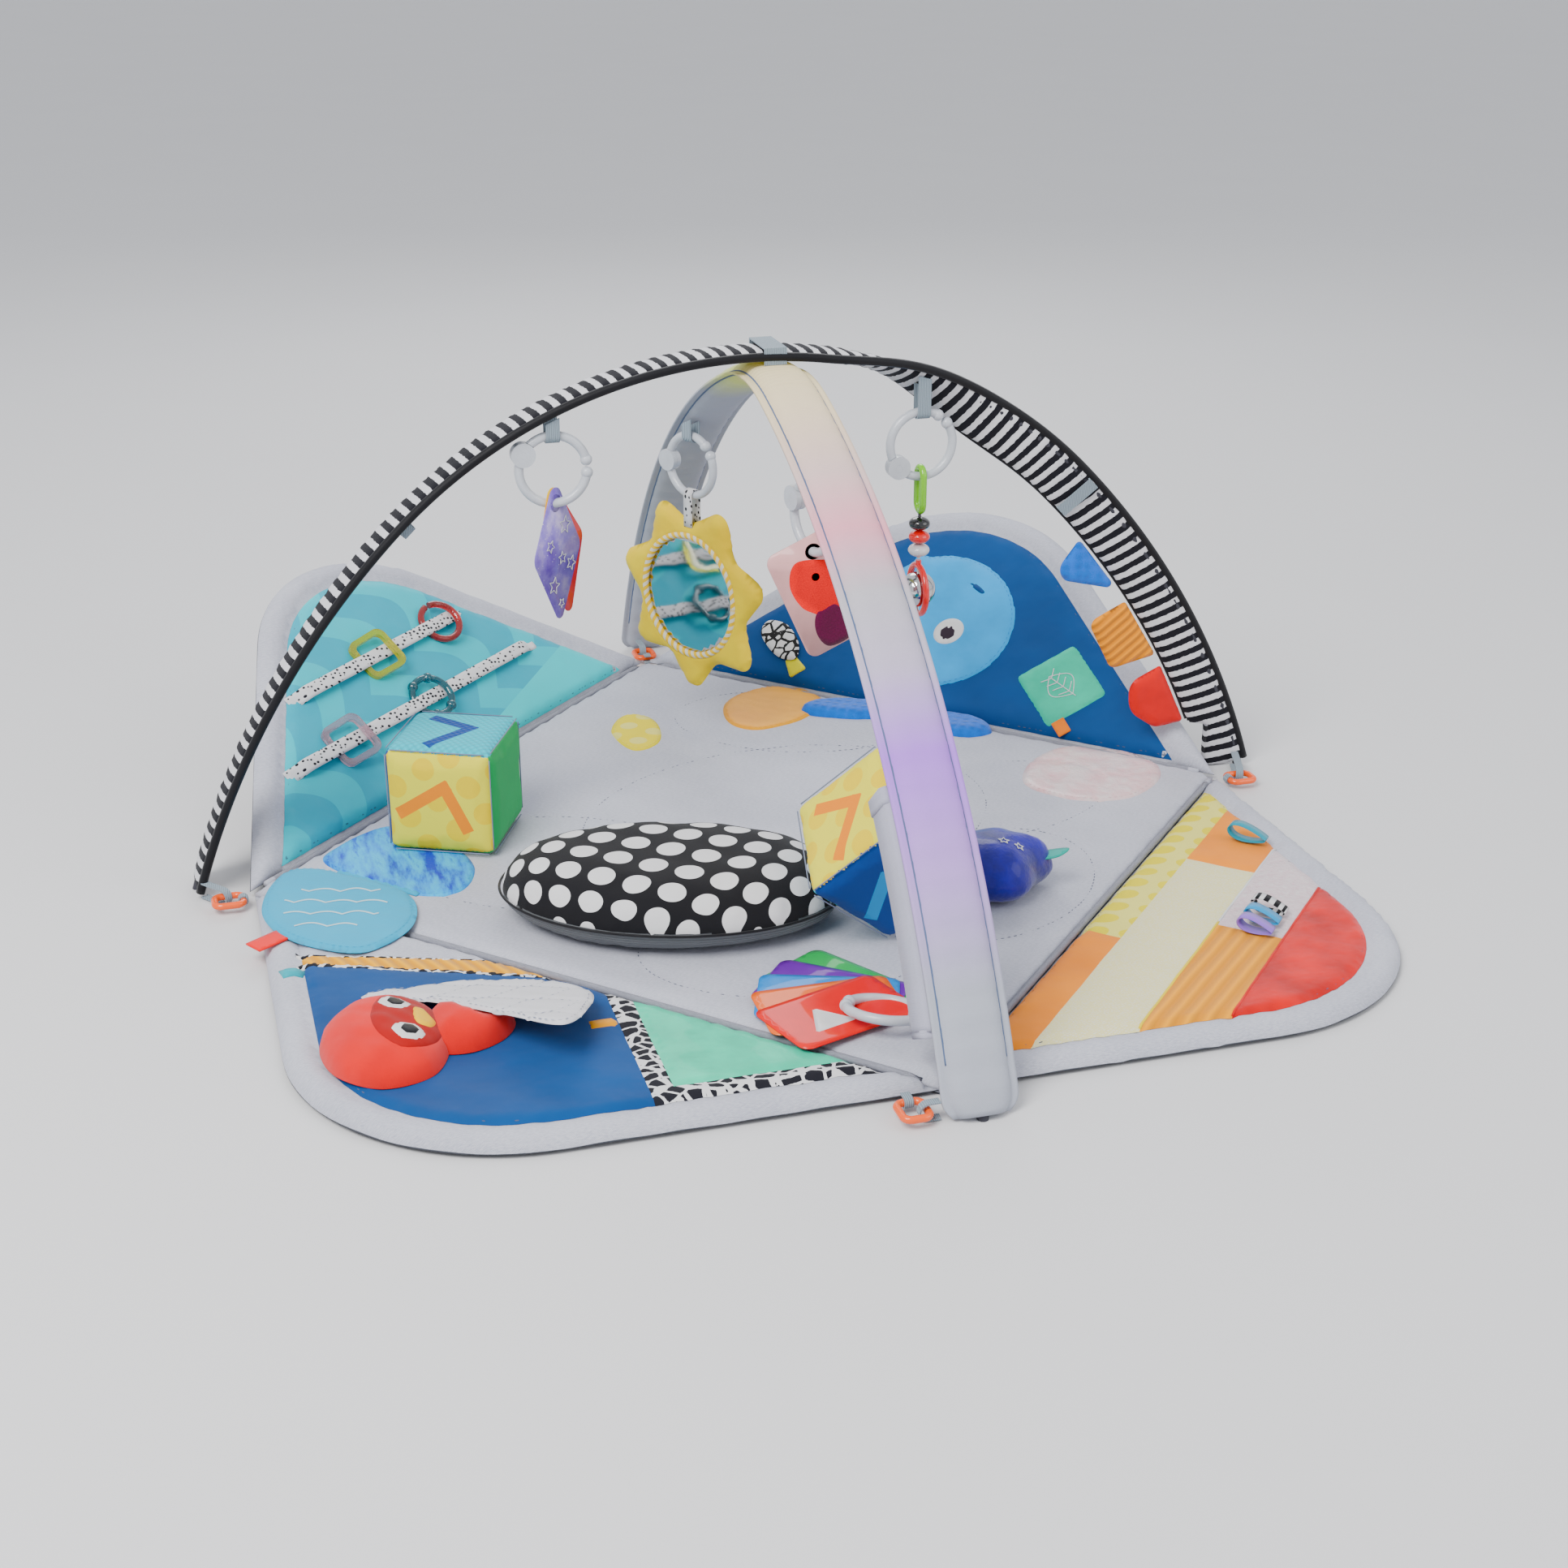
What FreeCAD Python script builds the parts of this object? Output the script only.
import FreeCAD, Part
import math
import os

# Activity play gym: a padded mat with four fold-up corners, two crossed arches and loose and hanging toys.
# Millimetres. Origin on the floor under the middle of the mat, +X along the striped arch, +Z up.

V = FreeCAD.Vector
CLEAR = 0.4                 # air left between a soft piece and what it lies on

# Mat
HALF_X = 460.0
HALF_Y = 475.0
CORNER_R = 180.0
BACKING_T = 1.0
MAT_T = 12.0
BORDER = 28.0
PANEL_T = 0.8
SEAM_GAP = 0.3
LOBE_TILT = 41.5            # how far the two back corners stand up from the floor

# Arches: a top arc, two flatter side arcs and short straight legs
STRIPED = {"height": 443.0, "r1": 446.6, "a1": 44.9, "r2": 776.8, "a2": 71.4, "half_t": 6.0,
           "half_w": 23.0, "along": "X", "centre": V(0, 40, 0)}
GREY = {"height": 426.5, "r1": 184.5, "a1": 16.1, "r2": 755.0, "a2": 65.5, "half_t": 9.5,
        "half_w": 30.0, "along": "Y", "centre": V(18, 18, 0)}
LEG = 30.0
ROD_R = 4.5
TUNNEL_R = 4.8

# Snap rings that carry the toys
RING_R = 29.5
WIRE_R = 4.0
KNOB_R = 10.5
KNOB_T = 5.0
PIN_R = 3.0
RUNNING = 0.05              # radial running clearance on pins
BULB_R = 5.2
GAP_HALF = 11.0             # half the ring's mouth, in degrees

# Soft cube
CUBE = 102.0

# Foot link
LINK_WIRE = 3.0
STRAP_T = 1.2

# Control module in the pocket of the grey arch's front leg
MODULE_PHI = -54.0
MODULE = (56.0, 24.0, 118.0)
WALL = 2.0


def rad(degrees):
    return math.radians(degrees)


def save(name, shapes):
    """Writes one node: a solid, or a group of separate solids."""
    solids = []
    for shape in shapes if isinstance(shapes, list) else [shapes]:
        solids += shape.Solids
    whole = solids[0] if len(solids) == 1 else Part.makeCompound(solids)
    whole.exportStep("parts/" + name + ".step")
    box = whole.BoundBox
    print(name, len(solids), "valid" if whole.isValid() else "NOT VALID", round(whole.Volume),
          [round(x) for x in (box.XMin, box.YMin, box.ZMin, box.XMax, box.YMax, box.ZMax)])


def turned(shape, base, axis, degrees):
    copy = shape.copy()
    copy.rotate(base, axis, degrees)
    return copy


def framed(shape, origin, x_dir, y_dir):
    """The shape moved from its own frame to one at origin with the given X and Y directions."""
    x_dir = V(x_dir).normalize()
    z_dir = x_dir.cross(y_dir).normalize()
    y_dir = z_dir.cross(x_dir)
    matrix = FreeCAD.Matrix(x_dir.x, y_dir.x, z_dir.x, origin.x,
                            x_dir.y, y_dir.y, z_dir.y, origin.y,
                            x_dir.z, y_dir.z, z_dir.z, origin.z, 0, 0, 0, 1)
    copy = shape.copy()
    copy.Placement = FreeCAD.Placement(matrix).multiply(copy.Placement)
    return copy


def rounded(points, radii):
    """A closed flat wire through a polygon's corners, each rounded to its radius."""
    count = len(points)
    if not isinstance(radii, (list, tuple)):
        radii = [radii] * count
    edges = []
    stops = []
    for i, (x, y) in enumerate(points):
        here = V(x, y, 0)
        back = V(points[i - 1][0], points[i - 1][1], 0) - here
        ahead = V(points[(i + 1) % count][0], points[(i + 1) % count][1], 0) - here
        half = back.getAngle(ahead) / 2
        back.normalize()
        ahead.normalize()
        reach = radii[i] / math.tan(half)
        middle = (back + ahead).normalize() * (radii[i] / math.sin(half) - radii[i])
        stops.append((here + back * reach, here + middle, here + ahead * reach))
    for i, (start, middle, end) in enumerate(stops):
        edges.append(Part.Arc(start, middle, end).toShape())
        follow = stops[(i + 1) % count][0]
        if (follow - end).Length > 1e-6:
            edges.append(Part.LineSegment(end, follow).toShape())
    return Part.Wire(edges)


def slab(wire, z0, z1):
    face = Part.Face(wire)
    face.translate(V(0, 0, z0))
    return face.extrude(V(0, 0, z1 - z0))


def plate(points, radii, z0, z1):
    return slab(rounded(points, radii), z0, z1)


def polygon(points, z0, z1):
    corners = [V(x, y, 0) for x, y in points]
    return slab(Part.makePolygon(corners + [corners[0]]), z0, z1)


def blob(points, z0, z1):
    """A plate with one smooth outline through the points."""
    curve = Part.BSplineCurve()
    curve.interpolate([V(x, y, 0) for x, y in points], PeriodicFlag=True)
    return slab(Part.Wire(curve.toShape()), z0, z1)


def dome(rx, ry, rz, flat=0.0):
    """An ellipsoid with its lowest flat mm cut off, centred on the origin."""
    ball = Part.makeSphere(1.0)
    matrix = FreeCAD.Matrix()
    matrix.scale(rx, ry, rz)
    shape = ball.transformGeometry(matrix)
    if flat > 0:
        shape = shape.cut(Part.makeBox(4 * rx, 4 * ry, 2 * rz, V(-2 * rx, -2 * ry, -3 * rz + flat)))
    return shape


# ---------------------------------------------------------------- mat

SEAM = math.hypot(HALF_X, HALF_Y)


def seam_frame(sx, sy):
    """Start, direction and outward normal of the fold seam of the corner on side (sx, sy)."""
    start = V(sx * HALF_X, 0, MAT_T)
    along = V(-sx * HALF_X, sy * HALF_Y, 0).normalize()
    outward = V(sx * HALF_Y, sy * HALF_X, 0).normalize()
    return start, along, outward


def fold_axis(sx, sy):
    """Axis about which a positive turn lifts that corner."""
    outward = seam_frame(sx, sy)[2]
    return V(outward.y, -outward.x, 0)


def raised(shape, sx, sy):
    """Back corners stand at LOBE_TILT; front corners lie flat."""
    if sy < 0:
        return shape
    return turned(shape, seam_frame(sx, sy)[0], fold_axis(sx, sy), LOBE_TILT)


def corner_wire(sx, sy, edge, seam):
    """Outline of a corner piece, held back from the mat's rim by edge and from the seam by seam."""
    y0 = (edge * HALF_Y + seam * SEAM) / HALF_X
    x0 = (edge * HALF_X + seam * SEAM) / HALF_Y
    cx = HALF_X - CORNER_R + (CORNER_R - edge) * math.sqrt(0.5)
    cy = HALF_Y - CORNER_R + (CORNER_R - edge) * math.sqrt(0.5)
    path = [(HALF_X - edge, y0), (HALF_X - edge, HALF_Y - CORNER_R), (cx, cy),
            (HALF_X - CORNER_R, HALF_Y - edge), (x0, HALF_Y - edge)]
    a, b, c, d, e = [V(sx * x, sy * y, 0) for x, y in path]
    return Part.Wire([Part.LineSegment(a, b).toShape(), Part.Arc(b, c, d).toShape(),
                      Part.LineSegment(d, e).toShape(), Part.LineSegment(e, a).toShape()])


def corner_plate(sx, sy, edge, seam, z0, z1):
    return slab(corner_wire(sx, sy, edge, seam), z0, z1)


def seam_strip(sx, sy, s0, s1, d0, d1, z0, z1):
    """A rectangle set out along the seam (s) and away from it (d)."""
    start, along, outward = seam_frame(sx, sy)
    spots = [start + along * s + outward * d for s, d in ((s0, d0), (s1, d0), (s1, d1), (s0, d1))]
    return polygon([(p.x, p.y) for p in spots], z0, z1)


def diamond_prism(inset, z0, z1):
    """The flat centre of the mat between the four seams, held back from them by inset."""
    x = HALF_X - inset * SEAM / HALF_Y
    y = HALF_Y - inset * SEAM / HALF_X
    return polygon([(x, 0), (0, y), (-x, 0), (0, -y)], z0, z1)


TOP = MAT_T
SKIN = MAT_T + PANEL_T
APPLIQUE_INSET = 3.0
ARM_T = 9.0                 # the two soft plush arms stand this far up


def mat_nodes():
    save("center_backing", diamond_prism(SEAM_GAP, 0, BACKING_T))
    save("center_pad", diamond_prism(SEAM_GAP, BACKING_T, TOP))
    for name, sx, sy in (("back_left_pad", -1, 1), ("back_right_pad", 1, 1),
                         ("front_left_pad", -1, -1), ("front_right_pad", 1, -1)):
        save(name, raised(corner_plate(sx, sy, 0, SEAM_GAP, 0, TOP), sx, sy))
    wave_disc = blob([(-396, 31), (-350, 92), (-302, 98), (-278, 40), (-268, -20), (-292, -62), (-338, -48)],
                     TOP, SKIN)
    pink = blob([(270, 22), (300, 76), (350, 101), (402, 78), (418, 34), (398, -8), (350, -38), (298, -26)],
                TOP, SKIN)
    orange = blob([(60, 232), (38, 262), (50, 316), (92, 348), (140, 338), (150, 290), (112, 246)],
                  TOP, SKIN)
    yellow = blob([(-62, 310), (-84, 268), (-74, 214), (-46, 224), (-34, 262), (-38, 300)], TOP, SKIN)
    keep = diamond_prism(APPLIQUE_INSET, 0, 60)
    tentacles = [blob([(118, 270), (146, 300), (196, 282), (216, 248), (196, 224), (160, 232)],
                      SKIN, SKIN + ARM_T),
                 blob([(228, 196), (256, 214), (286, 190), (290, 158), (262, 150), (238, 168)],
                      TOP, TOP + ARM_T)]
    pieces = [wave_disc, pink, orange, yellow] + tentacles
    save("center_appliques", [piece.common(keep) for piece in pieces])


# ---------------------------------------------------------------- corner fabrics

def strap_run(p, q, rise, width, thickness):
    """A slack ribbon from p to q, sewn down at both ends and standing rise above them between."""
    length = (q - p).Length
    slope = 16.0
    end = 10.0
    top = [(0, 0), (end, 0), (end + slope, rise),
           (length - end - slope, rise), (length - end, 0), (length, 0)]
    lower = [V(x, 0, z) for x, z in top]
    upper = [V(x, 0, z + thickness) for x, z in reversed(top)]
    face = Part.Face(Part.makePolygon(lower + upper + [lower[0]]))
    ribbon = face.extrude(V(0, width, 0))
    ribbon.translate(V(0, -width / 2, 0))
    return framed(ribbon, p, q - p, V(0, 0, 1).cross(q - p))


RIBBON_RISE = 7.8
RIBBON_T = 1.0
RIBBON_W = 14.0
RIBBONS = ((V(-430, 226, SKIN), V(-238, 434, SKIN)), (V(-430, 135, SKIN), V(-150, 431, SKIN)))
LINK_R = 21.0
LINK_TILT = 12.1
LINK_BAR = 3.5
FLAT_BAR = 2.6
# name, which ribbon, how far along it
TRAY_LINKS = (("red_link", 0, 240.0), ("yellow_link", 0, 132.0),
              ("teal_link", 1, 218.0), ("pink_link", 1, 88.0))


def tray_link(name, origin, along):
    """One toy link, threaded on its ribbon: one bar runs under the ribbon and the other over it."""
    if name == "red_link":
        section = Part.Wire(Part.makeCircle(LINK_BAR, V(LINK_R, 0, 0), V(0, 1, 0)))
        shape = Part.Face(section).revolve(V(0, 0, 0), V(0, 0, 1), 345)
        shape = turned(shape, V(0, 0, 0), V(0, 0, 1), 98)
    elif name == "teal_link":
        shape = Part.makeTorus(LINK_R, LINK_BAR)
        for angle in (60, 120, 240, 300):
            spot = V(LINK_R * math.cos(rad(angle)), LINK_R * math.sin(rad(angle)), 0)
            shape = shape.fuse(Part.makeSphere(LINK_BAR + 1.8, spot))
    else:
        reach = LINK_R + FLAT_BAR
        outer = plate([(-reach, -reach * 0.9), (reach, -reach), (reach, reach), (-reach, reach)], 10,
                      -FLAT_BAR, FLAT_BAR)
        reach -= 6.0
        hole = plate([(-reach, -reach * 0.9), (reach, -reach), (reach, reach), (-reach, reach)], 6,
                     -LINK_BAR, LINK_BAR)
        shape = outer.cut(hole)
    shape = turned(shape, V(0, 0, 0), V(0, 1, 0), -LINK_TILT)
    return framed(shape, origin, along, V(0, 0, 1).cross(along))


def back_left_nodes():
    side = (-1, 1)
    save("teal_panel", raised(corner_plate(*side, BORDER, 5, TOP, SKIN), *side))
    runs = [strap_run(p, q, RIBBON_RISE, RIBBON_W, RIBBON_T) for p, q in RIBBONS]
    save("link_ribbons", [raised(run, *side) for run in runs])
    for name, which, reach in TRAY_LINKS:
        p, q = RIBBONS[which]
        along = (q - p).normalize()
        origin = p + along * reach + V(0, 0, RIBBON_RISE + RIBBON_T / 2)
        save(name, raised(tray_link(name, origin, along), *side))


LEAF = (342.0, 136.0, 412.0, 210.0)


def back_right_nodes():
    side = (1, 1)
    save("sea_panel", raised(corner_plate(*side, BORDER, 5, TOP, SKIN), *side))
    face = dome(82, 96, 5, 0)
    face = face.common(Part.makeBox(400, 400, 20, V(-200, -200, 0)))
    face = framed(face, V(304, 322, SKIN), V(1, 0, 0), V(0, 1, 0))
    save("sea_creature", raised(face, *side))
    x0, y0, x1, y1 = LEAF
    low = SKIN + CLEAR
    flap = plate([(x0, y0), (x1, y0), (x1, y1), (x0, y1)], 8, low, low + 2)
    tab = Part.makeBox(14, 16, 1.2, V(x0 + 6, y0 - 16, low))
    save("leaf_flap", [raised(flap, *side), raised(tab, *side)])


FLAP_HINGE = V(-400, -216, SKIN + CLEAR)
FLAP_ALONG = V(175, -22, 0).normalize()
FLAP_TILT = 14.0
FLAP_T = 2.4
WING = [(-394, -240), (-345, -228), (-300, -231), (-246, -258), (-224, -300), (-234, -345), (-262, -386),
        (-300, -336), (-345, -278)]
BIRD_HEAD = V(-372, -322, TOP + PANEL_T + CLEAR)
BIRD_BODY = V(-320, -310, TOP + PANEL_T + CLEAR)


def wing_plate(z0, z1):
    flat = blob(WING, z0, z1)
    return turned(flat, FLAP_HINGE, FLAP_ALONG, -FLAP_TILT)


def front_left_nodes():
    panel = corner_plate(-1, -1, BORDER, 5, TOP, SKIN)
    trim_x = -208.0
    trim_w = 18.0
    below = polygon([(-432, -160), (trim_x, -252), (trim_x, -500), (-500, -500), (-500, -160)], 0, 50)
    navy = panel.common(below)
    side_trim = panel.common(polygon([(trim_x, -252), (trim_x + trim_w, -259), (trim_x + trim_w, -500),
                                      (trim_x, -500)], 0, 50))
    front_y = -HALF_Y + BORDER + trim_w
    front_trim = panel.common(polygon([(trim_x + trim_w, front_y), (0, front_y), (0, -500),
                                       (trim_x + trim_w, -500)], 0, 50))
    satin = panel.common(polygon([(trim_x + trim_w, -200), (0, -200), (0, front_y),
                                  (trim_x + trim_w, front_y)], 0, 50))
    cord = panel.common(polygon([(-432, -150), (-420, -146), (-250, -206), (trim_x, -252), (-432, -160)],
                                0, 50))
    save("nest_panel", [navy, side_trim, front_trim, satin, cord])
    save("wing_flap", wing_plate(FLAP_HINGE.z, FLAP_HINGE.z + FLAP_T))
    head = dome(60, 50, 22, 4)
    head.translate(BIRD_HEAD + V(0, 0, 18))
    body = dome(44, 38, 18, 4)
    body.translate(BIRD_BODY + V(0, 0, 14))
    over = wing_plate(FLAP_HINGE.z - 1.2, FLAP_HINGE.z + 70)
    save("bird_plush", head.fuse(body).cut(over))


def front_right_nodes():
    panel = corner_plate(1, -1, BORDER, 5, TOP, SKIN)
    far = 700
    bands = ((5, 40, 0, 383), (5, 40, 383, far), (40, 103, 0, 209), (40, 103, 209, far),
             (103, 160, 0, 323), (103, 160, 323, far), (160, 400, 0, far))
    patches = [panel.common(seam_strip(1, -1, s0, s1, d0, d1, 0, 50)) for d0, d1, s0, s1 in bands]
    save("patchwork_panel", patches)
    loops = []
    for s, d, size in ((152, 96, 12), (286, 152, 10), (306, 152, 10), (326, 152, 10)):
        ring = Part.makeCylinder(size, 12).cut(Part.makeCylinder(size - 1.0, 12))
        start, along, outward = seam_frame(1, -1)
        spot = start + along * s + outward * d + V(0, 0, PANEL_T + size)
        loops.append(framed(ring, spot, V(0, 0, 1), outward.cross(V(0, 0, 1)).cross(V(0, 0, 1))))
    save("ribbon_tags", loops)


HEM = (-60.0, -54.3, 45.0, 135.0)       # depth inside the seam, and stretch along it
WAVE = [(-430, 14), (-404, 12), (-372, -14), (-340, -48), (-330, -84), (-342, -128), (-380, -158),
        (-416, -142), (-444, -110), (-457, -66), (-449, -18)]


def wave_flap_nodes():
    low = SKIN + CLEAR
    inner, outer, s0, s1 = HEM
    save("wave_hem", seam_strip(-1, -1, s0, s1, inner, outer, low, low + 2))
    keep = seam_strip(-1, -1, -200, 400, outer + 0.3, 400, 0, 100)
    flap = blob(WAVE, low, low + 2).common(keep)
    tag = polygon([(-449, -96), (-474, -116), (-464, -132), (-440, -113)], low, low + 1.2).cut(flap)
    save("wave_flap", [flap, tag])


# ---------------------------------------------------------------- arches

def arch_point(arch, phi, offset):
    """Point of the arch at phi degrees from its top, offset outward from its middle line."""
    r1 = arch["r1"]
    radius = r1
    cu = 0.0
    cz = arch["height"] - r1
    if abs(phi) > arch["a1"]:
        radius = arch["r2"]
        cu = -math.copysign(1, phi) * (radius - r1) * math.sin(rad(arch["a1"]))
        cz -= (radius - r1) * math.cos(rad(arch["a1"]))
    u = cu + (radius + offset) * math.sin(rad(phi))
    z = cz + (radius + offset) * math.cos(rad(phi))
    return place(arch, u, z)


def place(arch, u, z):
    if arch["along"] == "X":
        return arch["centre"] + V(u, 0, z)
    return arch["centre"] + V(0, u, z)


def arch_tangent(arch, phi):
    return place(arch, math.cos(rad(phi)), -math.sin(rad(phi))) - arch["centre"]


def side_dir(arch):
    return V(0, 1, 0) if arch["along"] == "X" else V(1, 0, 0)


def arc_edges(arch, offset, phi0, phi1, legs):
    """Edges from phi0 to phi1 at that offset, with straight legs past both ends if asked."""
    stops = [phi0] + [p for p in (-arch["a1"], arch["a1"]) if phi0 < p < phi1] + [phi1]
    edges = []
    nudge = 1e-9
    for a, b in zip(stops, stops[1:]):
        inside = (a + b) / 2
        lean = nudge if inside > a else -nudge
        spots = [arch_point(arch, phi, offset) for phi in (a + lean, inside, b - lean)]
        edges.append(Part.Arc(*spots).toShape())
    if legs:
        first = arch_point(arch, phi0, offset)
        last = arch_point(arch, phi1, offset)
        edges.insert(0, Part.LineSegment(first - arch_tangent(arch, phi0) * LEG, first).toShape())
        edges.append(Part.LineSegment(last, last + arch_tangent(arch, phi1) * LEG).toShape())
    return edges


def band(arch, t0, t1, v0, v1, phi0=None, phi1=None):
    """A band between two offsets of the arch and two sideways places. Whole arch if no angles are given."""
    legs = phi0 is None
    if legs:
        phi0 = -arch["a2"]
        phi1 = arch["a2"]
    outer = Part.Wire(arc_edges(arch, t1, phi0, phi1, legs))
    inner = Part.Wire(arc_edges(arch, t0, phi0, phi1, legs))
    ends = []
    for k in (0, -1):
        a = outer.OrderedVertexes[k].Point
        b = inner.OrderedVertexes[k].Point
        ends.append(Part.LineSegment(a, b).toShape())
    edges = outer.Edges + inner.Edges + ends
    face = Part.Face(Part.Wire(Part.__sortEdges__(edges)))
    face.translate(side_dir(arch) * v0)
    solid = face.extrude(side_dir(arch) * (v1 - v0))
    return above_floor(solid) if legs else solid


def above_floor(shape):
    return shape.common(Part.makeBox(2000, 2000, 1000, V(-1000, -1000, 0)))


def rod(arch, radius):
    path = Part.Wire(arc_edges(arch, 0, -arch["a2"], arch["a2"], True))
    start = path.OrderedVertexes[0].Point
    section = Part.Wire(Part.makeCircle(radius, start, arch_tangent(arch, -arch["a2"])))
    return above_floor(path.makePipeShell([section], True, False))


CROSSING = 12.0             # half the dent, in degrees, that the striped sleeve makes in the grey one


def grey_sleeve():
    half_t = GREY["half_t"]
    half_w = GREY["half_w"]
    sleeve = band(GREY, -half_t, half_t, -half_w, half_w)
    low = -STRIPED["half_t"] - CLEAR
    side = STRIPED["half_w"] + CLEAR
    return sleeve.cut(band(STRIPED, low, 0, -side, side, -CROSSING, CROSSING))


TWIST = 78.0                # the striped sleeve turns on its rod by this much on the right
TWIST_FROM = 8.0
TWIST_TO = 36.0
TWIST_SHIFT = 15.0          # and hangs inward by this much
NOTCH = (70.0, 80.0, 48.0)  # cut away at its right foot, where the raised mat corner passes
NOTCH_X = 400.0


def striped_frame(phi):
    """Middle of the striped sleeve at phi, with its directions across its width and its thickness."""
    share = min(max((phi - TWIST_FROM) / (TWIST_TO - TWIST_FROM), 0), 1)
    share = share * share * (3 - 2 * share)
    turn = rad(TWIST * share)
    tangent = arch_tangent(STRIPED, phi)
    middle = arch_point(STRIPED, phi, 0)
    outward = (arch_point(STRIPED, phi, 10) - arch_point(STRIPED, phi, 0)).normalize()
    wide = V(0, -math.cos(turn), 0) + outward * math.sin(turn)
    thick = wide.cross(tangent)
    return middle - wide * (TWIST_SHIFT * math.sin(turn)), wide, thick


def striped_section(phi, along=0.0):
    """Outline of the striped sleeve across the arch at phi."""
    middle, wide, thick = striped_frame(phi)
    middle += arch_tangent(STRIPED, phi) * along
    half_w = STRIPED["half_w"]
    half_t = STRIPED["half_t"]
    corners = [middle + wide * (half_w * a) + thick * (half_t * b)
               for a, b in ((-1, -1), (1, -1), (1, 1), (-1, 1))]
    return Part.makePolygon(corners + [corners[0]])


def striped_sleeve():
    end = STRIPED["a2"]
    steps = 56
    sections = [striped_section(-end, -LEG)]
    sections += [striped_section(-end + 2 * end * i / steps) for i in range(steps + 1)]
    sections.append(striped_section(end, LEG))
    notch = Part.makeBox(NOTCH[0], NOTCH[1], NOTCH[2], V(NOTCH_X, 0, 0))
    return above_floor(Part.makeLoft(sections, True, True)).cut(notch)


LIGHT_SPAN = (-58.0, 40.0)
POCKET = (-61.0, -47.0)
POCKET_DEPTH = 32.0


def arch_nodes():
    striped = striped_sleeve()
    grey = grey_sleeve()
    save("arch_rods", [rod(STRIPED, ROD_R), rod(GREY, ROD_R)])
    save("striped_arch_sleeve", striped.cut(rod(STRIPED, TUNNEL_R)))
    channel = band(GREY, 5.2, 7.2, -4.5, 4.5, *LIGHT_SPAN)
    inner = -GREY["half_t"]
    pocket = band(GREY, inner - POCKET_DEPTH, inner, -33, 33, *POCKET)
    space = band(GREY, inner - POCKET_DEPTH + 1.5, inner, -31, 31, POCKET[0] + 0.3, POCKET[1] + 1)
    save("grey_arch_sleeve", [grey.cut(rod(GREY, TUNNEL_R)).cut(channel), pocket.cut(space)])
    strip = band(GREY, 5.4, 6.2, -4, 4, LIGHT_SPAN[0] + 0.2, LIGHT_SPAN[1] - 0.2)
    for phi in range(-54, 40, 12):
        spot = arch_point(GREY, phi, 6.2)
        lamp = Part.makeCylinder(2.0, 0.8, spot, spot - arch_point(GREY, phi, 0))
        strip = strip.fuse(lamp)
    save("light_string", strip)
    return striped, grey


def u_strap(anchor, wire, along_wire, inside, width):
    """A fabric loop from an anchor point round a wire, its two plies open towards the anchor."""
    reach = (wire - anchor).Length
    profiles = []
    for r in (inside + STRAP_T, inside):
        flat = Part.makeBox(reach, width, 2 * r, V(0, -width / 2, -r))
        end = Part.makeCylinder(r, width, V(reach, -width / 2, 0), V(0, 1, 0))
        profiles.append(flat.fuse(end))
    return framed(profiles[0].cut(profiles[1]), anchor, wire - anchor, along_wire)


def apex_strap(striped, grey):
    """A strap over the striped arch whose two ends are sewn to the grey arch below it."""
    x, y = GREY["centre"].x, STRIPED["centre"].y
    half = STRIPED["half_w"] + 0.5
    top = STRIPED["height"] + STRIPED["half_t"] + 0.6
    foot = 412.0
    outer = Part.makeBox(20, 2 * half + 2.4, top + 1.2 - foot, V(x - 10, y - half - 1.2, foot))
    inner = Part.makeBox(20, 2 * half, top - foot, V(x - 10, y - half, foot))
    return outer.cut(inner).cut(grey).cut(striped)


# ---------------------------------------------------------------- foot links

STRAP_W = 7.0
LEG_LOOP = 6.1
EDGE_GAP = 8.0              # the links stay this far off the mat, whose corners swing out as they fold
FEET = (("left", V(-482, -12, 8), V(1, 0, 0)), ("right", V(482, -12, 8), V(-1, 0, 0)),
        ("front", V(-31, -502, 8), V(0, 1, 0)), ("back", V(5, 503, 8), V(0, -1, 0)))
# where each leg's strap goes round its link, and where it leaves for the leg
LEG_STRAPS = {"left": (V(-486, -2, 8), V(-502, 18, 8)), "right": (V(486, -2, 8), V(500, 36, 8)),
              "front": (V(-21, -505, 8), V(-11, -505, 8)), "back": (V(5, 515, 8), V(5, 538, 8))}


def foot_nodes(striped, grey):
    links = []
    straps = []
    for name, centre, inward in FEET:
        side = V(0, 0, 1).cross(inward)
        half_len = 12.0
        half_wid = 10.0
        spots = [(-half_len, -half_wid), (half_len, -half_wid), (half_len, half_wid), (-half_len, half_wid)]
        path = rounded(spots, 6)
        section = Part.Wire(Part.makeCircle(LINK_WIRE, V(0, -half_wid, 0), V(1, 0, 0)))
        ring = path_ring(path, section)
        links.append(framed(ring, centre, inward, side))
        near = centre + inward * half_len
        edge = V(near)
        if abs(inward.x) > 0.5:
            edge.x = -math.copysign(HALF_X + EDGE_GAP, inward.x)
        else:
            edge.y = -math.copysign(HALF_Y + EDGE_GAP, inward.y)
        straps.append(u_strap(edge, near, side, LINK_WIRE + 0.2, STRAP_W))
        straps.append(leg_strap(name).cut(striped).cut(grey))
    save("foot_links", links)
    save("foot_straps", straps)


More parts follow.
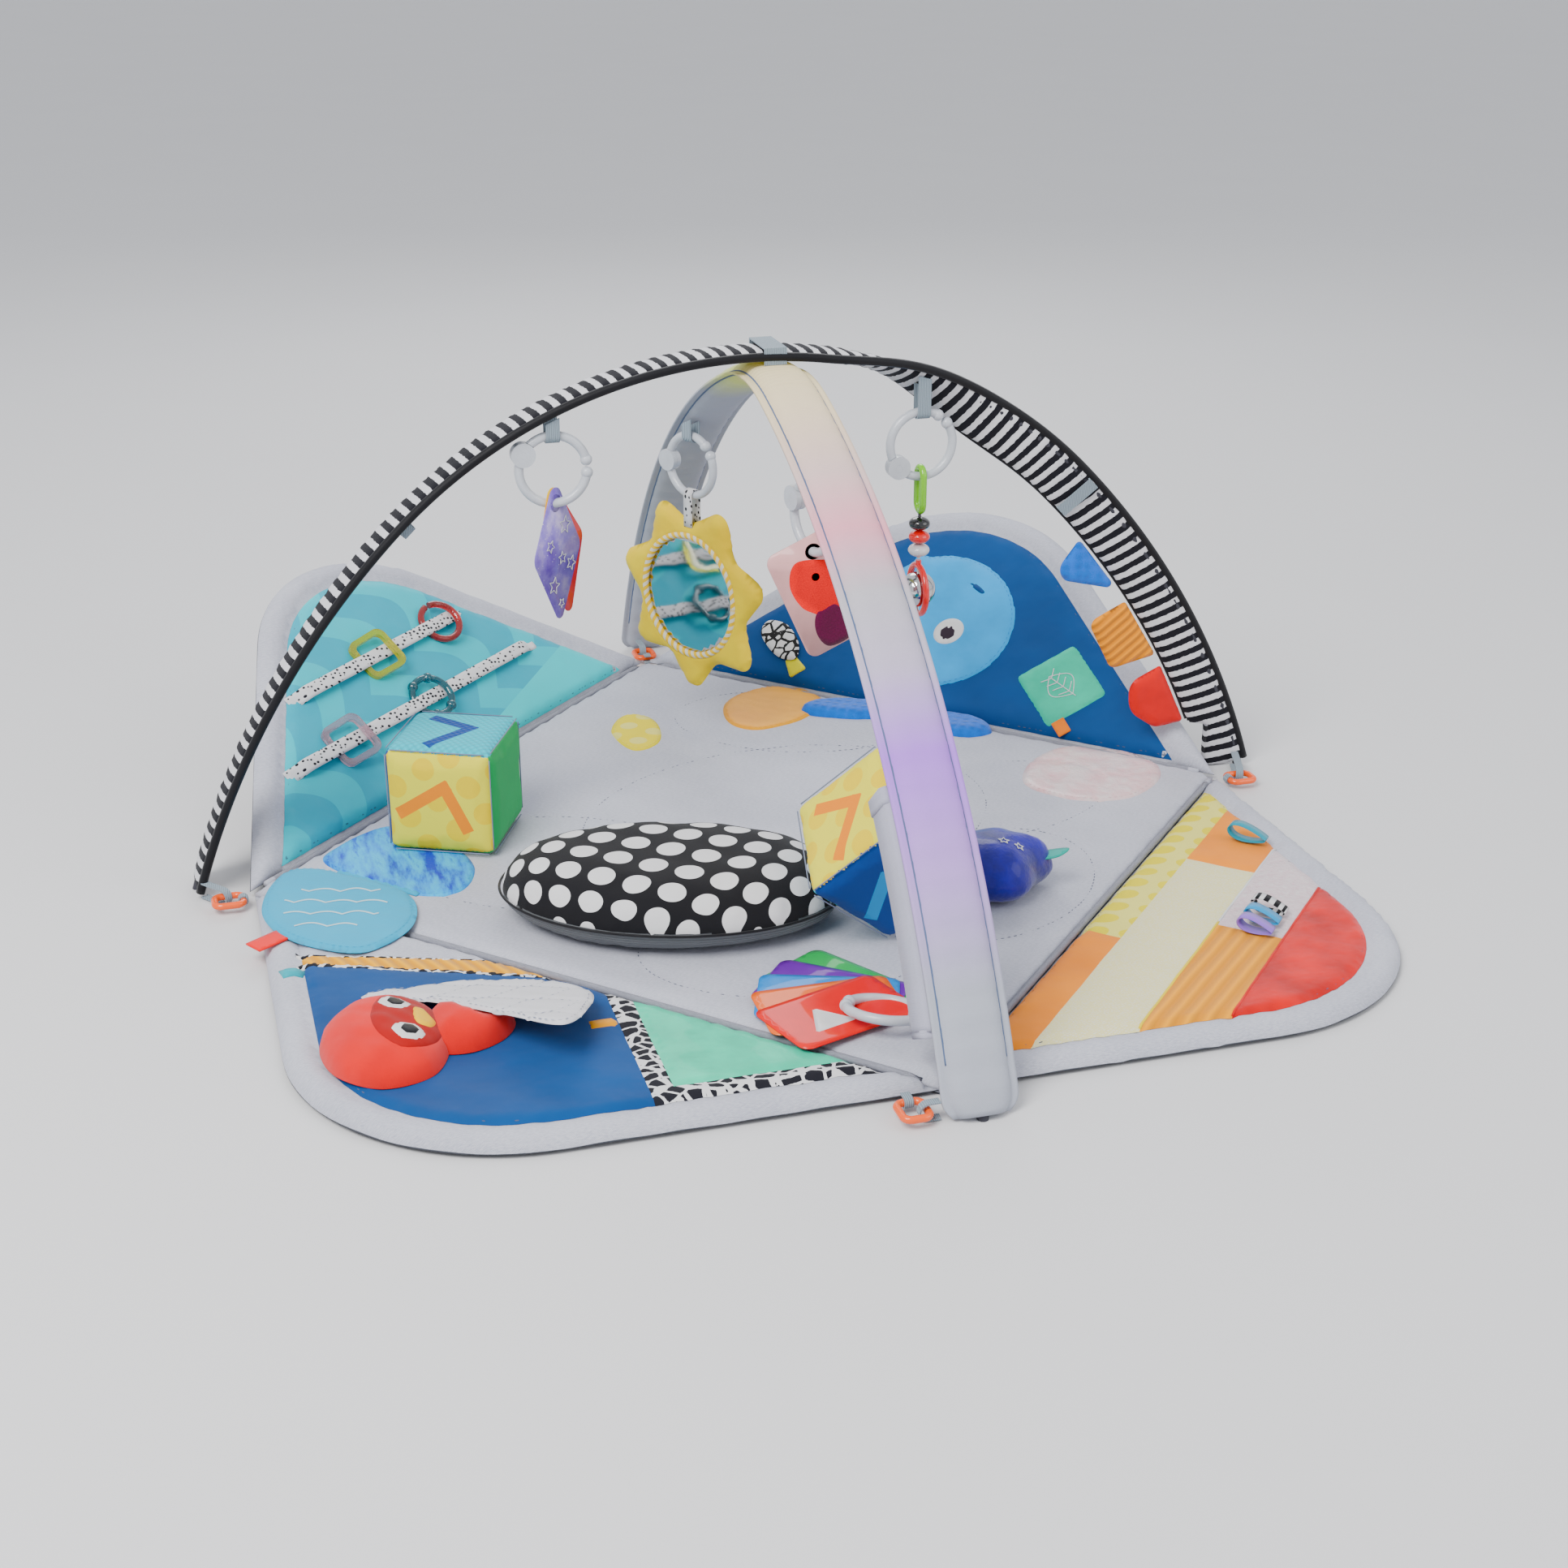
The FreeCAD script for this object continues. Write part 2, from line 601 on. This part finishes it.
def path_ring(path, section):
    """A round bar bent along a closed rounded rectangle that starts on its lower straight side."""
    edges = Part.__sortEdges__(path.Edges)
    start = [i for i, e in enumerate(edges) if e.Length > 5 and abs(e.CenterOfMass.y + 10.0) < 1e-6][0]
    order = edges[start:] + edges[:start]
    first = order[0]
    middle = V(0, first.CenterOfMass.y, 0)
    a = Part.LineSegment(middle, first.valueAt(first.LastParameter)).toShape()
    b = Part.LineSegment(first.valueAt(first.FirstParameter), middle).toShape()
    whole = Part.Wire([a] + order[1:] + [b])
    return whole.makePipeShell([section], True, False)


def leg_strap(name):
    """The webbing loop from the arch's leg round the link."""
    wire, anchor = LEG_STRAPS[name]
    pull = wire - anchor
    return u_strap(anchor, wire, V(0, 0, 1).cross(pull), LEG_LOOP, STRAP_W)


# ---------------------------------------------------------------- control module

def module_frame():
    """Origin, X across the band, Y towards the arch's outer side, Z up along the leg."""
    origin = arch_point(GREY, MODULE_PHI, -GREY["half_t"] - 1.6 - MODULE[1] / 2 - 2.4)
    up = arch_tangent(GREY, MODULE_PHI)
    return origin, V(1, 0, 0), V(1, 0, 0).cross(up) * -1


def in_module(shape):
    origin, x_dir, y_dir = module_frame()
    return framed(shape, origin, x_dir, y_dir)


def module_nodes():
    w, t, h = MODULE
    shell = Part.makeBox(w, t - WALL, h, V(-w / 2, -t / 2 + WALL, -h / 2))
    space = Part.makeBox(w - 2 * WALL, t - 2 * WALL, h - 2 * WALL,
                         V(-w / 2 + WALL, -t / 2 + WALL, -h / 2 + WALL))
    button_r = 6.0
    hole = Part.makeCylinder(button_r + RUNNING, 10, V(0, 0, h / 2 - 5))
    save("module_housing", in_module(shell.cut(space).cut(hole)))
    save("module_cover", in_module(Part.makeBox(w, WALL, h, V(-w / 2, -t / 2, -h / 2))))
    stem = Part.makeCylinder(button_r, 8, V(0, 0, h / 2 - 5))
    flange = Part.makeCylinder(button_r + 2, 2, V(0, 0, h / 2 - WALL - 0.1 - 2))
    save("power_button", in_module(stem.fuse(flange)))
    cells = []
    for i in (-1, 0, 1):
        can = Part.makeCylinder(7.1, 49.2, V(i * 15.2, 0, -h / 2 + 6))
        nub = Part.makeCylinder(2.6, 1.2, V(i * 15.2, 0, -h / 2 + 6 + 49.2))
        cells.append(in_module(can.fuse(nub)))
    save("batteries", cells)


# ---------------------------------------------------------------- snap rings

def snap_ring(knob, mouth):
    """The two halves of a ring that opens at its knob. Flat in XY, the toy side being the second half."""
    def sector(start, sweep):
        section = Part.Face(Part.Wire(Part.makeCircle(WIRE_R, V(RING_R, 0, 0), V(0, 1, 0))))
        return turned(section.revolve(V(0, 0, 0), V(0, 0, 1), sweep), V(0, 0, 0), V(0, 0, 1), start)

    def spot(angle):
        return V(RING_R * math.cos(rad(angle)), RING_R * math.sin(rad(angle)), 0)

    def bulb(angle):
        return Part.makeSphere(BULB_R, spot(angle))

    centre = spot(knob)
    well = KNOB_R + 0.3
    upper = mouth + GAP_HALF
    lower = mouth + 360 - GAP_HALF
    fixed = sector(upper, knob - upper).fuse(bulb(upper))
    fixed = fixed.cut(Part.makeCylinder(well, 20, centre + V(0, 0, -0.1)))
    fixed = fixed.fuse(Part.makeCylinder(KNOB_R, KNOB_T - 0.1, centre + V(0, 0, -KNOB_T)))
    fixed = fixed.fuse(Part.makeCylinder(PIN_R, 2 * KNOB_T, centre + V(0, 0, -KNOB_T)))
    gate = sector(knob, lower - knob).fuse(bulb(lower))
    gate = gate.cut(Part.makeCylinder(well, 20, centre + V(0, 0, -20 + 0.1)))
    gate = gate.fuse(Part.makeCylinder(KNOB_R, KNOB_T - 0.1, centre + V(0, 0, 0.1)))
    gate = gate.cut(Part.makeCylinder(PIN_R + RUNNING, 30, centre + V(0, 0, -10)))
    return fixed, gate


# name: ring centre, yaw of the ring's plane, knob angle, mouth angle
RINGS = {"left": (V(-177, 24, 357), 0.0, 150.0, 2.0), "right": (V(160, 36, 352), 0.0, 222.0, 48.0),
         "sun": (V(-2, 240, 293), -59.0, 178.0, 38.0), "card": (V(12, -114, 338), -75.0, 160.0, 20.0)}
LOOP_INSIDE = 5.2
LOOP_W = 12.0


LEFT_LOOP = -44.0
RIGHT_LOOP = 46.0


def flat_loop(phi):
    """An empty webbing loop sewn across the broad face of the striped sleeve."""
    middle, wide, thick = striped_frame(phi)
    length = 40.0
    rise = 3.4
    ply = 1.2
    outer = Part.makeBox(length, LOOP_W, rise, V(-length / 2, -LOOP_W / 2, 0))
    inner = Part.makeBox(length - 2 * ply, LOOP_W + 2, rise - ply, V(-length / 2 + ply, -LOOP_W / 2 - 1, 0))
    origin = middle - thick * (STRIPED["half_t"] + 0.3)
    return framed(outer.cut(inner), origin, wide, arch_tangent(STRIPED, phi) * -1)


def ring_dirs(yaw):
    return V(math.cos(rad(yaw)), math.sin(rad(yaw)), 0), V(0, 0, 1)


def ring_nodes(striped, grey):
    loops = []
    for name, (centre, yaw, knob, mouth) in RINGS.items():
        along, up = ring_dirs(yaw)
        fixed, gate = snap_ring(knob, mouth)
        save(name + "_ring", framed(fixed, centre, along, up))
        save(name + "_ring_gate", framed(gate, centre, along, up))
        top = centre + V(0, 0, RING_R)
        sleeve = striped if name in ("left", "right") else grey
        loops.append(u_strap(top + V(0, 0, 40), top, along, LOOP_INSIDE, LOOP_W).cut(sleeve))
        loops[-1] = max(loops[-1].Solids, key=lambda s: -s.BoundBox.ZMin)
    spot = arch_point(STRIPED, LEFT_LOOP, -STRIPED["half_t"])
    inward = (arch_point(STRIPED, LEFT_LOOP, -20) - spot).normalize()
    ring = u_strap(spot - inward * 5, spot + inward * 5, arch_tangent(STRIPED, LEFT_LOOP), 4, LOOP_W)
    loops.append(ring.cut(striped))
    loops.append(flat_loop(RIGHT_LOOP).cut(striped))
    loops.append(apex_strap(striped, grey))
    save("toy_loops", loops)


# ---------------------------------------------------------------- hanging toys

STAR_YAW = 45.0
STAR_HOLE = 7.8


def star_cards():
    """Two kite-shaped cards on the left ring."""
    bottom = RINGS["left"][0] - V(0, 0, RING_R)
    outline = [(0, 24), (36, -44), (0, -110), (-36, -44)]
    cards = []
    for z0, turn in ((0.4, 0.0), (-1.6, 10.0)):
        card = plate(outline, [9, 12, 6, 12], z0, z0 + 1.2)
        card = card.cut(Part.makeCylinder(STAR_HOLE, 20, V(0, 0, -10)))
        cards.append(turned(card, V(0, 0, 0), V(0, 0, 1), turn))
    along, up = ring_dirs(STAR_YAW)
    save("star_cards", [framed(card, bottom, along, up) for card in cards])


def rattle_nodes():
    wire = RINGS["right"][0] - V(0, 0, RING_R)
    half_w = 8.0
    bar = 3.2
    drop = 40.0
    top = V(wire.x, wire.y, wire.z + half_w)
    spots = [(-half_w, -drop / 2), (half_w, -drop / 2), (half_w, drop / 2), (-half_w, drop / 2)]
    edges = Part.__sortEdges__(rounded(spots, half_w - 0.01).Edges)
    tall = [i for i, e in enumerate(edges) if e.Length > 10][0]
    order = edges[tall:] + edges[:tall]
    first = order[0]
    begin = first.valueAt(first.FirstParameter)
    section = Part.Wire(Part.makeCircle(bar, begin, V(0, 1, 0)))
    link = Part.Wire(order).makePipeShell([section], True, False)
    save("rattle_link", framed(link, top - V(0, 0, drop / 2), V(0, 1, 0), V(0, 0, 1)))
    foot = top.z - drop - bar
    string_r = 1.5
    string_end = foot - 42
    parts = [Part.makeCylinder(string_r, foot - string_end, V(wire.x, wire.y, string_end))]
    for level in (9.0, 21.5, 34.0):
        bead = dome(9.8, 9.8, 6.2)
        bead.translate(V(wire.x, wire.y, foot - level))
        parts.append(bead.cut(Part.makeCylinder(string_r, 30, V(wire.x, wire.y, foot - level - 15))))
    save("rattle_beads", parts)
    hoop_r = 22.5
    eye_gap = 1.6
    hoop_z = string_end - eye_gap - 3 - hoop_r - 2.5
    centre = V(wire.x, wire.y, hoop_z)
    hoop = Part.makeTorus(hoop_r, 3.0, centre, V(1, 0, 0))
    eye = Part.makeCylinder(2.6, 3.5, V(wire.x, wire.y, string_end - eye_gap - 3.5))
    hoop = hoop.fuse(eye)
    axle_r = 1.5
    foot_of_bore = centre - V(0, 0, hoop_r)
    hoop = hoop.cut(Part.makeCylinder(axle_r + RUNNING, 2 * hoop_r, foot_of_bore))
    save("rattle_hoop", hoop)
    ball = Part.makeSphere(16.3, centre)
    axle = Part.makeCylinder(axle_r, 2 * hoop_r - 1, V(centre.x, centre.y, centre.z - hoop_r + 0.5))
    save("mirror_ball", ball.fuse(axle))
    print("rattle string end", string_end, "hoop centre", hoop_z)


SUN_DROP = 101.5            # from the ring's lower wire to the middle of the sun
SUN_TIP = 98.0
SUN_ROOT = 70.0
SUN_T = 11.0
MIRROR_R = 60.0


def sun_nodes():
    along, up = ring_dirs(RINGS["sun"][1])
    bottom = RINGS["sun"][0] - V(0, 0, RING_R)
    rays = 7
    points = []
    radii = []
    for i in range(rays):
        for turn, reach, r in ((0, SUN_TIP + 8, 14), (0.5, SUN_ROOT + 2, 16)):
            angle = rad(90 + 360 * (i + 0.5 + turn) / rays)
            points.append((reach * math.cos(angle), reach * math.sin(angle)))
            radii.append(r)
    body = plate(points, radii, -SUN_T / 2, SUN_T / 2)
    body = body.cut(Part.makeCylinder(MIRROR_R + 0.3, 10, V(0, 0, SUN_T / 2 - 2.3)))
    mirror = Part.makeCylinder(MIRROR_R, 2.2, V(0, 0, SUN_T / 2 - 2.2))
    strap = u_strap(V(0, SUN_DROP - 34, 0), V(0, SUN_DROP, 0), V(1, 0, 0), LOOP_INSIDE, LOOP_W).cut(body)
    strap = max(strap.Solids, key=lambda s: s.BoundBox.YMax)
    middle = bottom - V(0, 0, SUN_DROP)
    body, strap, mirror = [framed(s, middle, along, up) for s in (body, strap, mirror)]
    save("sun_toy", [body, strap])
    save("sun_mirror", mirror)


CARD_LEAN = -24.0


def picture_card():
    """One printed card, leaning in its own plane, on the card ring."""
    bottom = RINGS["card"][0] - V(0, 0, RING_R)
    w, h, hole_down = 80.0, 100.0, 14.0
    low, high, side = hole_down - h, hole_down, w / 2
    card = plate([(-side, low), (side, low), (side, high), (-side, high)], 9, -0.8, 0.8)
    card = card.cut(Part.makeCylinder(7.0, 10, V(0, 0, -5)))
    card = turned(card, V(0, 0, 0), V(0, 0, 1), -CARD_LEAN)
    save("picture_card", framed(card, bottom, V(1, 0, 0), V(0, 0, 1)))


def pennant_nodes():
    """Three fabric shapes sewn along the inner edge of the striped arch."""
    edge = STRIPED["half_w"] + TWIST_SHIFT
    shapes = {"blue_pennant": (51.7, [(-34, 0), (34, 0), (-22, 44)], [4, 4, 13]),
              "orange_pennant": (58.2, [(-34, 0), (34, 0), (18, 45), (-38, 41)], [3, 3, 9, 9]),
              "red_pennant": (64.5, [(-34, 0), (34, 0), (24, 30), (-6, 47), (-34, 36)], [3, 3, 16, 24, 16])}
    for name, (phi, outline, radii) in shapes.items():
        root = arch_point(STRIPED, phi, -edge * math.sin(rad(TWIST)) - 2.6)
        root += V(0, edge * math.cos(rad(TWIST)), 0)
        along = arch_tangent(STRIPED, phi)
        inward = arch_point(STRIPED, phi, -40) - arch_point(STRIPED, phi, 0)
        flag = plate(outline, radii, -1.5, 1.5)
        save(name, framed(flag, root, along, inward))


# ---------------------------------------------------------------- loose toys

def cube(centre, x_dir, y_dir, half):
    soft = 7.0
    box = Part.makeBox(2 * half, 2 * half, 2 * half, V(-half, -half, -half))
    box = box.makeFillet(soft, box.Edges)
    return framed(box, centre, x_dir, y_dir)


def loose_nodes():
    low = TOP + CLEAR
    half = CUBE / 2
    front = V(0.903, -0.43, 0)
    corner = V(-340, 38, SKIN + CLEAR)
    depth = V(0, 0, 1).cross(front)
    save("cube_left", cube(corner + (front + depth) * half + V(0, 0, half), front, depth, half))
    edge_a = V(0.6117, -0.3962, 0.6845)
    edge_b = V(0.165, 0.9028, 0.3973)
    edge_c = V(-0.7826, -0.1458, 0.6051)
    lowest = V(38, -253, low - 4.8)
    middle = lowest + (edge_a + edge_b + edge_c) * half
    save("cube_right", cube(middle, edge_a, edge_b, half))
    cushion = plate_ellipse(148, 98, 58)
    cushion = turned(cushion, V(0, 0, 0), V(0, 0, 1), -19.7)
    cushion.translate(V(-122, -148, low))
    save("cushion", cushion)
    plush = dome(58, 48, 30, 5)
    plush.translate(V(150, -186, low + 25))
    save("star_plush", plush)


def plate_ellipse(rx, ry, height):
    """An oval cushion with rounded rims."""
    curve = Part.Ellipse(V(0, 0, 0), rx, ry)
    solid = slab(Part.Wire(curve.toShape()), 0, height)
    return solid.makeFillet(height * 0.42, solid.Edges[:1] + solid.Edges[2:])


FLASH_RING = V(-12, -382, 24)
FLASH_TILT = -14.0
FLASH_KNOB = 325.0
FLASH_MOUTH = 150.0


def flash_nodes():
    """A fan of five picture cards on a snap ring that leans on them."""
    fixed, gate = snap_ring(FLASH_KNOB, FLASH_MOUTH)
    knob_spot = FLASH_RING + V(RING_R * math.cos(rad(FLASH_KNOB)), RING_R * math.sin(rad(FLASH_KNOB)), 0)
    tilt_axis = V(0.75, -0.66, 0).normalize()
    x_dir = V(1, 0, 0)
    rings = [framed(s, FLASH_RING, x_dir, V(0, 1, 0)) for s in (fixed, gate)]
    fixed, gate = [turned(s, FLASH_RING, tilt_axis, FLASH_TILT) for s in rings]
    swept = Part.makeTorus(RING_R, WIRE_R + 0.7, FLASH_RING, V(0, 0, 1))
    swept = swept.fuse(Part.makeCylinder(KNOB_R + 2, 2 * KNOB_T + 3, knob_spot - V(0, 0, KNOB_T + 1.5)))
    for angle in (FLASH_MOUTH - GAP_HALF, FLASH_MOUTH + GAP_HALF):
        end = FLASH_RING + V(RING_R * math.cos(rad(angle)), RING_R * math.sin(rad(angle)), 0)
        swept = swept.fuse(Part.makeSphere(BULB_R + 2, end))
    swept = turned(swept, FLASH_RING, tilt_axis, FLASH_TILT)
    pivot = V(-4, -352, 0)
    cards = []
    for i in range(5):
        z0 = TOP + CLEAR + i * 1.3
        card = plate([(-98, -36), (14, -36), (14, 36), (-98, 36)], 9, z0, z0 + 1.0)
        card = turned(card, V(0, 0, 0), V(0, 0, 1), -58 + 19 * i)
        card.translate(pivot)
        cards.append(card.cut(swept))
    save("flash_ring", gate)
    save("flash_ring_gate", fixed)
    save("flash_cards", cards)


def main():
    os.makedirs("parts", exist_ok=True)
    mat_nodes()
    back_left_nodes()
    back_right_nodes()
    front_left_nodes()
    front_right_nodes()
    wave_flap_nodes()
    striped, grey = arch_nodes()
    foot_nodes(striped, grey)
    module_nodes()
    ring_nodes(striped, grey)
    star_cards()
    rattle_nodes()
    sun_nodes()
    picture_card()
    pennant_nodes()
    loose_nodes()
    flash_nodes()


main()
